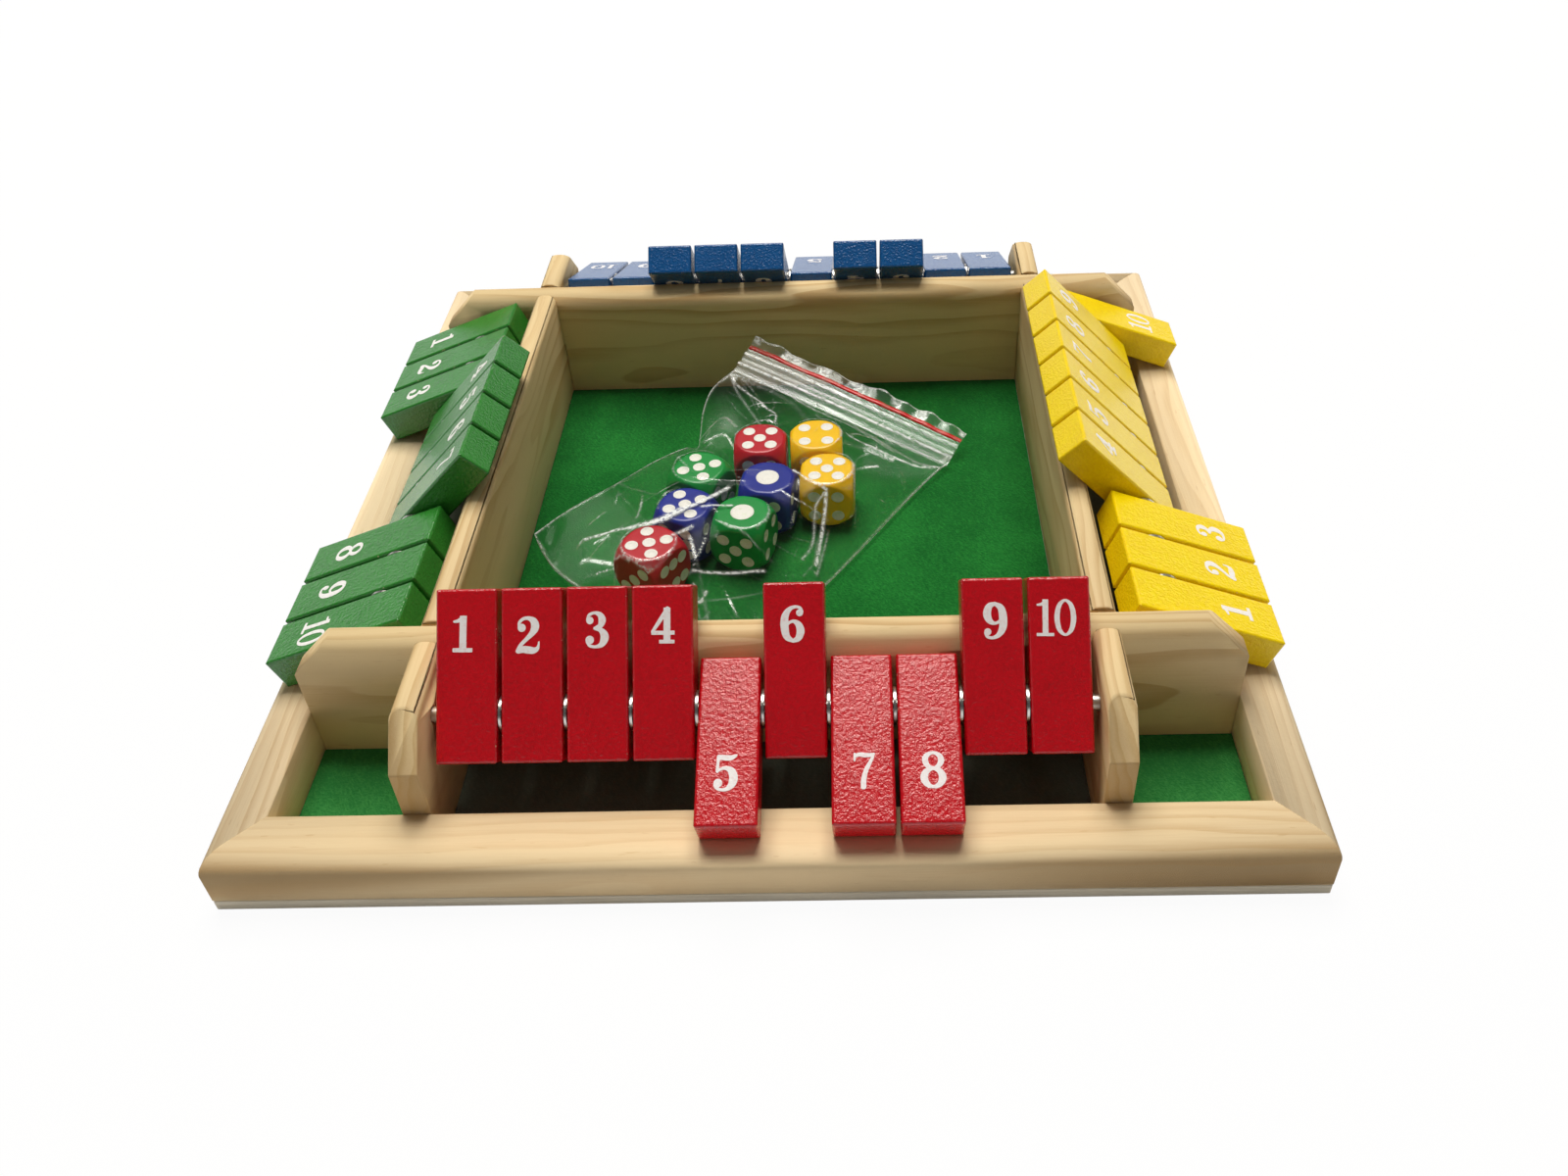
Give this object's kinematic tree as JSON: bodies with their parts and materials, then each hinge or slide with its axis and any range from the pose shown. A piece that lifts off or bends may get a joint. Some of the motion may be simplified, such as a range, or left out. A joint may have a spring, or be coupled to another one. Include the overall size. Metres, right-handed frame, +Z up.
{
  "type": "shut the box game",
  "caption": "Square pine tray game with a felt dice floor, rows of folding number tiles on steel rods along each side, and a clear bag of dice.",
  "frame": {"origin": "centre of the underside of the base board, on the table", "axes": "+X to the right of the player in front, +Y away from that player, +Z up"},
  "size_m": [0.254, 0.254, 0.0561],
  "materials": {
    "pine": "smooth sanded pine, unvarnished",
    "green_felt": "short pressed felt",
    "black_felt": "short pressed felt",
    "steel": "plain zinc-bright steel",
    "red_paint": "satin paint over wood grain, white serif numerals",
    "yellow_paint": "satin paint over wood grain, white serif numerals",
    "blue_paint": "satin paint over wood grain, white serif numerals",
    "green_paint": "satin paint over wood grain, white serif numerals",
    "red_dice": "polished, white pips",
    "yellow_dice": "polished, white pips",
    "blue_dice": "polished, white pips",
    "green_dice": "polished, white pips",
    "clear_film": "thin clear creased film",
    "zip_strip": "clear ribbed closure with a red line"
  },
  "bodies": {
    "root": {"base_board": "pine", "front_rail": "pine", "right_rail": "pine", "back_rail": "pine", "left_rail": "pine", "front_wall": "pine", "right_wall": "pine", "back_wall": "pine", "left_wall": "pine", "tray_felt": "green_felt", "corner_felts": "green_felt", "trough_linings": "black_felt", "pivot_rods": "steel", "spacer_washers": "steel"},
    "red_tile_1": {"red_tile_1": "red_paint"},
    "red_tile_2": {"red_tile_2": "red_paint"},
    "red_tile_3": {"red_tile_3": "red_paint"},
    "red_tile_4": {"red_tile_4": "red_paint"},
    "red_tile_5": {"red_tile_5": "red_paint"},
    "red_tile_6": {"red_tile_6": "red_paint"},
    "red_tile_7": {"red_tile_7": "red_paint"},
    "red_tile_8": {"red_tile_8": "red_paint"},
    "red_tile_9": {"red_tile_9": "red_paint"},
    "red_tile_10": {"red_tile_10": "red_paint"},
    "yellow_tile_1": {"yellow_tile_1": "yellow_paint"},
    "yellow_tile_2": {"yellow_tile_2": "yellow_paint"},
    "yellow_tile_3": {"yellow_tile_3": "yellow_paint"},
    "yellow_tile_4": {"yellow_tile_4": "yellow_paint"},
    "yellow_tile_5": {"yellow_tile_5": "yellow_paint"},
    "yellow_tile_6": {"yellow_tile_6": "yellow_paint"},
    "yellow_tile_7": {"yellow_tile_7": "yellow_paint"},
    "yellow_tile_8": {"yellow_tile_8": "yellow_paint"},
    "yellow_tile_9": {"yellow_tile_9": "yellow_paint"},
    "yellow_tile_10": {"yellow_tile_10": "yellow_paint"},
    "blue_tile_1": {"blue_tile_1": "blue_paint"},
    "blue_tile_2": {"blue_tile_2": "blue_paint"},
    "blue_tile_3": {"blue_tile_3": "blue_paint"},
    "blue_tile_4": {"blue_tile_4": "blue_paint"},
    "blue_tile_5": {"blue_tile_5": "blue_paint"},
    "blue_tile_6": {"blue_tile_6": "blue_paint"},
    "blue_tile_7": {"blue_tile_7": "blue_paint"},
    "blue_tile_8": {"blue_tile_8": "blue_paint"},
    "blue_tile_9": {"blue_tile_9": "blue_paint"},
    "blue_tile_10": {"blue_tile_10": "blue_paint"},
    "green_tile_1": {"green_tile_1": "green_paint"},
    "green_tile_2": {"green_tile_2": "green_paint"},
    "green_tile_3": {"green_tile_3": "green_paint"},
    "green_tile_4": {"green_tile_4": "green_paint"},
    "green_tile_5": {"green_tile_5": "green_paint"},
    "green_tile_6": {"green_tile_6": "green_paint"},
    "green_tile_7": {"green_tile_7": "green_paint"},
    "green_tile_8": {"green_tile_8": "green_paint"},
    "green_tile_9": {"green_tile_9": "green_paint"},
    "green_tile_10": {"green_tile_10": "green_paint"},
    "dice_bag": {"bag_film": "clear_film", "bag_zip": "zip_strip", "red_dice": "red_dice", "yellow_dice": "yellow_dice", "blue_dice": "blue_dice", "green_dice": "green_dice"}
  },
  "joints": [
    {"name": "red_tile_1_hinge", "type": "hinge", "parent": "root", "child": "red_tile_1", "pos_m": [-0.0675, -0.0975, 0.0324], "axis": [1, 0, 0], "range_deg": [0, 154.8]},
    {"name": "red_tile_2_hinge", "type": "hinge", "parent": "root", "child": "red_tile_2", "pos_m": [-0.0525, -0.0975, 0.0324], "axis": [1, 0, 0], "range_deg": [0, 154.8]},
    {"name": "red_tile_3_hinge", "type": "hinge", "parent": "root", "child": "red_tile_3", "pos_m": [-0.0375, -0.0975, 0.0324], "axis": [1, 0, 0], "range_deg": [0, 154.8]},
    {"name": "red_tile_4_hinge", "type": "hinge", "parent": "root", "child": "red_tile_4", "pos_m": [-0.0225, -0.0975, 0.0324], "axis": [1, 0, 0], "range_deg": [0, 154.8]},
    {"name": "red_tile_5_hinge", "type": "hinge", "parent": "root", "child": "red_tile_5", "pos_m": [-0.0075, -0.0975, 0.0324], "axis": [1, 0, 0], "range_deg": [-154.8, 0]},
    {"name": "red_tile_6_hinge", "type": "hinge", "parent": "root", "child": "red_tile_6", "pos_m": [0.0075, -0.0975, 0.0324], "axis": [1, 0, 0], "range_deg": [0, 154.8]},
    {"name": "red_tile_7_hinge", "type": "hinge", "parent": "root", "child": "red_tile_7", "pos_m": [0.0225, -0.0975, 0.0324], "axis": [1, 0, 0], "range_deg": [-154.8, 0]},
    {"name": "red_tile_8_hinge", "type": "hinge", "parent": "root", "child": "red_tile_8", "pos_m": [0.0375, -0.0975, 0.0324], "axis": [1, 0, 0], "range_deg": [-154.8, 0]},
    {"name": "red_tile_9_hinge", "type": "hinge", "parent": "root", "child": "red_tile_9", "pos_m": [0.0525, -0.0975, 0.0324], "axis": [1, 0, 0], "range_deg": [0, 154.8]},
    {"name": "red_tile_10_hinge", "type": "hinge", "parent": "root", "child": "red_tile_10", "pos_m": [0.0675, -0.0975, 0.0324], "axis": [1, 0, 0], "range_deg": [0, 154.8]},
    {"name": "yellow_tile_1_hinge", "type": "hinge", "parent": "root", "child": "yellow_tile_1", "pos_m": [0.0975, -0.0675, 0.0324], "axis": [0, 1, 0], "range_deg": [-154.8, 0]},
    {"name": "yellow_tile_2_hinge", "type": "hinge", "parent": "root", "child": "yellow_tile_2", "pos_m": [0.0975, -0.0525, 0.0324], "axis": [0, 1, 0], "range_deg": [-154.8, 0]},
    {"name": "yellow_tile_3_hinge", "type": "hinge", "parent": "root", "child": "yellow_tile_3", "pos_m": [0.0975, -0.0375, 0.0324], "axis": [0, 1, 0], "range_deg": [-154.8, 0]},
    {"name": "yellow_tile_4_hinge", "type": "hinge", "parent": "root", "child": "yellow_tile_4", "pos_m": [0.0975, -0.0225, 0.0324], "axis": [0, 1, 0], "range_deg": [0, 154.8]},
    {"name": "yellow_tile_5_hinge", "type": "hinge", "parent": "root", "child": "yellow_tile_5", "pos_m": [0.0975, -0.0075, 0.0324], "axis": [0, 1, 0], "range_deg": [0, 154.8]},
    {"name": "yellow_tile_6_hinge", "type": "hinge", "parent": "root", "child": "yellow_tile_6", "pos_m": [0.0975, 0.0075, 0.0324], "axis": [0, 1, 0], "range_deg": [0, 154.8]},
    {"name": "yellow_tile_7_hinge", "type": "hinge", "parent": "root", "child": "yellow_tile_7", "pos_m": [0.0975, 0.0225, 0.0324], "axis": [0, 1, 0], "range_deg": [0, 154.8]},
    {"name": "yellow_tile_8_hinge", "type": "hinge", "parent": "root", "child": "yellow_tile_8", "pos_m": [0.0975, 0.0375, 0.0324], "axis": [0, 1, 0], "range_deg": [0, 154.8]},
    {"name": "yellow_tile_9_hinge", "type": "hinge", "parent": "root", "child": "yellow_tile_9", "pos_m": [0.0975, 0.0525, 0.0324], "axis": [0, 1, 0], "range_deg": [0, 154.8]},
    {"name": "yellow_tile_10_hinge", "type": "hinge", "parent": "root", "child": "yellow_tile_10", "pos_m": [0.0975, 0.0675, 0.0324], "axis": [0, 1, 0], "range_deg": [-154.8, 0]},
    {"name": "blue_tile_1_hinge", "type": "hinge", "parent": "root", "child": "blue_tile_1", "pos_m": [0.0675, 0.0975, 0.0324], "axis": [-1, 0, 0], "range_deg": [-154.8, 0]},
    {"name": "blue_tile_2_hinge", "type": "hinge", "parent": "root", "child": "blue_tile_2", "pos_m": [0.0525, 0.0975, 0.0324], "axis": [-1, 0, 0], "range_deg": [-154.8, 0]},
    {"name": "blue_tile_3_hinge", "type": "hinge", "parent": "root", "child": "blue_tile_3", "pos_m": [0.0375, 0.0975, 0.0324], "axis": [-1, 0, 0], "range_deg": [0, 154.8]},
    {"name": "blue_tile_4_hinge", "type": "hinge", "parent": "root", "child": "blue_tile_4", "pos_m": [0.0225, 0.0975, 0.0324], "axis": [-1, 0, 0], "range_deg": [0, 154.8]},
    {"name": "blue_tile_5_hinge", "type": "hinge", "parent": "root", "child": "blue_tile_5", "pos_m": [0.0075, 0.0975, 0.0324], "axis": [-1, 0, 0], "range_deg": [-154.8, 0]},
    {"name": "blue_tile_6_hinge", "type": "hinge", "parent": "root", "child": "blue_tile_6", "pos_m": [-0.0075, 0.0975, 0.0324], "axis": [-1, 0, 0], "range_deg": [0, 154.8]},
    {"name": "blue_tile_7_hinge", "type": "hinge", "parent": "root", "child": "blue_tile_7", "pos_m": [-0.0225, 0.0975, 0.0324], "axis": [-1, 0, 0], "range_deg": [0, 154.8]},
    {"name": "blue_tile_8_hinge", "type": "hinge", "parent": "root", "child": "blue_tile_8", "pos_m": [-0.0375, 0.0975, 0.0324], "axis": [-1, 0, 0], "range_deg": [0, 154.8]},
    {"name": "blue_tile_9_hinge", "type": "hinge", "parent": "root", "child": "blue_tile_9", "pos_m": [-0.0525, 0.0975, 0.0324], "axis": [-1, 0, 0], "range_deg": [-154.8, 0]},
    {"name": "blue_tile_10_hinge", "type": "hinge", "parent": "root", "child": "blue_tile_10", "pos_m": [-0.0675, 0.0975, 0.0324], "axis": [-1, 0, 0], "range_deg": [-154.8, 0]},
    {"name": "green_tile_1_hinge", "type": "hinge", "parent": "root", "child": "green_tile_1", "pos_m": [-0.0975, 0.0675, 0.0324], "axis": [0, -1, 0], "range_deg": [-154.8, 0]},
    {"name": "green_tile_2_hinge", "type": "hinge", "parent": "root", "child": "green_tile_2", "pos_m": [-0.0975, 0.0525, 0.0324], "axis": [0, -1, 0], "range_deg": [-154.8, 0]},
    {"name": "green_tile_3_hinge", "type": "hinge", "parent": "root", "child": "green_tile_3", "pos_m": [-0.0975, 0.0375, 0.0324], "axis": [0, -1, 0], "range_deg": [-154.8, 0]},
    {"name": "green_tile_4_hinge", "type": "hinge", "parent": "root", "child": "green_tile_4", "pos_m": [-0.0975, 0.0225, 0.0324], "axis": [0, -1, 0], "range_deg": [0, 154.8]},
    {"name": "green_tile_5_hinge", "type": "hinge", "parent": "root", "child": "green_tile_5", "pos_m": [-0.0975, 0.0075, 0.0324], "axis": [0, -1, 0], "range_deg": [0, 154.8]},
    {"name": "green_tile_6_hinge", "type": "hinge", "parent": "root", "child": "green_tile_6", "pos_m": [-0.0975, -0.0075, 0.0324], "axis": [0, -1, 0], "range_deg": [0, 154.8]},
    {"name": "green_tile_7_hinge", "type": "hinge", "parent": "root", "child": "green_tile_7", "pos_m": [-0.0975, -0.0225, 0.0324], "axis": [0, -1, 0], "range_deg": [0, 154.8]},
    {"name": "green_tile_8_hinge", "type": "hinge", "parent": "root", "child": "green_tile_8", "pos_m": [-0.0975, -0.0375, 0.0324], "axis": [0, -1, 0], "range_deg": [-154.8, 0]},
    {"name": "green_tile_9_hinge", "type": "hinge", "parent": "root", "child": "green_tile_9", "pos_m": [-0.0975, -0.0525, 0.0324], "axis": [0, -1, 0], "range_deg": [-154.8, 0]},
    {"name": "green_tile_10_hinge", "type": "hinge", "parent": "root", "child": "green_tile_10", "pos_m": [-0.0975, -0.0675, 0.0324], "axis": [0, -1, 0], "range_deg": [-154.8, 0]},
    {"name": "dice_bag_lift", "type": "slide", "parent": "root", "child": "dice_bag", "axis": [0, 0, 1], "range_m": [0, 0.06]}
  ]
}
